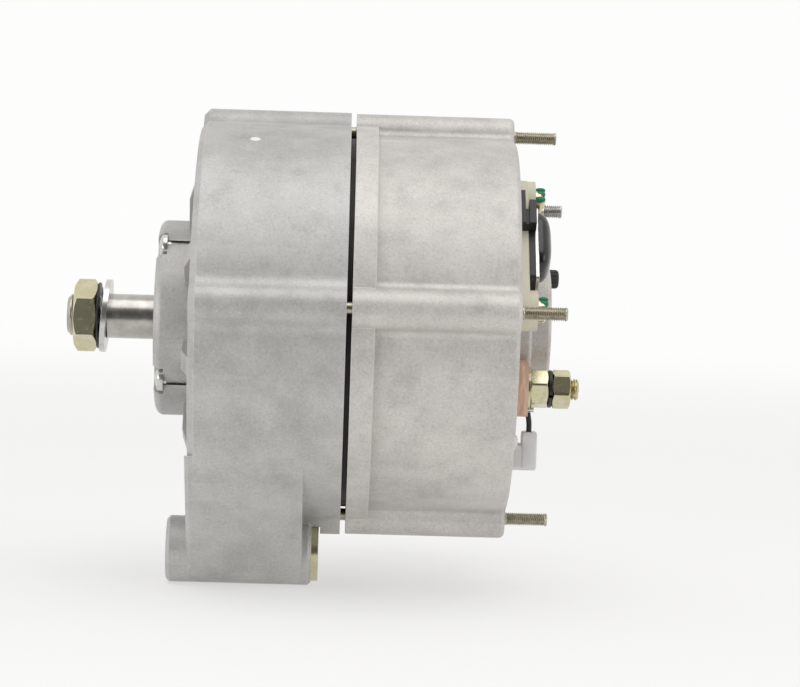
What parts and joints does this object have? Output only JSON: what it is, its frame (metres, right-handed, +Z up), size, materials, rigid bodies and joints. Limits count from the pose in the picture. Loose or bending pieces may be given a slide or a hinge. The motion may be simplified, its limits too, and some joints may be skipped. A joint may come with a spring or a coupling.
{
  "type": "alternator",
  "caption": "Claw-pole generator head with a bare threaded drive shaft, lower pivot lug, four long through bolts and a rear regulator with brush gear and terminals.",
  "frame": {"origin": "on the rotor axis, in the plane of the drive end hub's front face, where a pulley's seat on the shaft begins", "axes": "-X along the shaft towards its threaded drive end, +Z up as the part rests in the picture, with the pivot lug below and turned 7 degrees towards -Y"},
  "size_m": [0.1936, 0.1772, 0.1808],
  "materials": {
    "cast_aluminium": "die-cast, fine satin grain",
    "machined_steel": "ground and bright",
    "yellow_zinc": "yellow passivated zinc",
    "silver_zinc": "clear passivated zinc",
    "black_steel": "black oxide",
    "core_steel": "stacked laminations, dark varnish",
    "pole_steel": "forged and turned",
    "copper": "enamelled copper wire",
    "ring_copper": "turned copper",
    "sink_aluminium": "plain stamped sheet",
    "ivory_plastic": "moulded, matte",
    "black_plastic": "moulded, glossy",
    "shroud_plastic": "moulded, satin",
    "brown_laminate": "pressed insulating board",
    "clear_plastic": "milky moulded sleeve",
    "rubber_black": "soft moulded",
    "carbon": "pressed carbon with copper",
    "board_green": "plain circuit board",
    "brass_blade": "tinned brass"
  },
  "bodies": {
    "housing": {"drive_end_housing": "cast_aluminium", "slip_ring_end_housing": "cast_aluminium", "stator_core": "core_steel", "stator_windings": "copper", "front_bearing_outer_race": "machined_steel", "rear_bearing_outer_race": "machined_steel", "bearing_retainer": "silver_zinc", "retainer_screws": "silver_zinc", "through_bolts": "silver_zinc", "pivot_bush": "yellow_zinc", "positive_heat_sink": "sink_aluminium", "negative_heat_sink": "sink_aluminium", "positive_diodes": "silver_zinc", "negative_diodes": "silver_zinc", "rectifier_posts": "shroud_plastic", "exciter_diode_board": "board_green", "exciter_diodes": "shroud_plastic", "rectifier_screws": "silver_zinc", "terminal_insulator": "brown_laminate", "terminal_washer": "yellow_zinc", "terminal_inner_nut": "yellow_zinc", "terminal_spring_washer": "black_steel", "terminal_outer_nut": "yellow_zinc", "battery_stud": "yellow_zinc", "brush_holder": "ivory_plastic", "front_brush_spring": "machined_steel", "rear_brush_spring": "machined_steel", "regulator_body": "shroud_plastic", "regulator_plate": "sink_aluminium", "regulator_cover": "black_plastic", "regulator_screws": "yellow_zinc", "connector_shroud": "shroud_plastic", "lamp_terminal_insulator": "shroud_plastic", "lamp_terminal_stud": "silver_zinc", "lamp_terminal_nut": "silver_zinc", "phase_terminal_post": "silver_zinc", "phase_terminal_cap": "rubber_black", "suppressor_blade": "brass_blade", "suppressor_connector": "clear_plastic", "suppressor_lead": "rubber_black", "suppressor_lead_pin": "silver_zinc"},
    "rotor": {"rotor_shaft": "machined_steel", "front_pole": "pole_steel", "rear_pole": "pole_steel", "coil_bobbin": "ivory_plastic", "field_coil": "copper", "thrust_ring": "machined_steel", "slip_ring_sleeve": "shroud_plastic", "slip_rings": "ring_copper", "front_bearing_inner_race": "machined_steel", "rear_bearing_inner_race": "machined_steel", "shaft_nut": "yellow_zinc", "shaft_spring_washer": "black_steel", "shaft_washer": "silver_zinc"},
    "front_cage": {"front_bearing_cage": "sink_aluminium", "front_bearing_balls": "machined_steel"},
    "rear_cage": {"rear_bearing_cage": "sink_aluminium", "rear_bearing_balls": "machined_steel"},
    "front_brush": {"front_brush": "carbon"},
    "rear_brush": {"rear_brush": "carbon"}
  },
  "joints": [
    {"name": "rotor_turn", "type": "hinge", "parent": "housing", "child": "rotor", "pos_m": [0, 0, 0], "axis": [1, 0, 0], "continuous": true},
    {"name": "front_cage_turn", "type": "hinge", "parent": "housing", "child": "front_cage", "pos_m": [0.011, 0, 0], "axis": [1, 0, 0], "continuous": true},
    {"name": "rear_cage_turn", "type": "hinge", "parent": "housing", "child": "rear_cage", "pos_m": [0.1411, 0, 0], "axis": [1, 0, 0], "continuous": true},
    {"name": "front_brush_slide", "type": "slide", "parent": "housing", "child": "front_brush", "axis": [0, -0.766, 0.6428], "range_m": [0, 0.008], "stiffness_N_per_m": 250, "springref_m": -0.008, "deforming": ["front_brush_spring"]},
    {"name": "rear_brush_slide", "type": "slide", "parent": "housing", "child": "rear_brush", "axis": [0, -0.766, 0.6428], "range_m": [0, 0.008], "stiffness_N_per_m": 250, "springref_m": -0.008, "deforming": ["rear_brush_spring"]}
  ],
  "couplings": [
    {"joint": "front_cage_turn", "follows": "rotor_turn", "ratio": 0.3658},
    {"joint": "rear_cage_turn", "follows": "rotor_turn", "ratio": 0.3843}
  ]
}
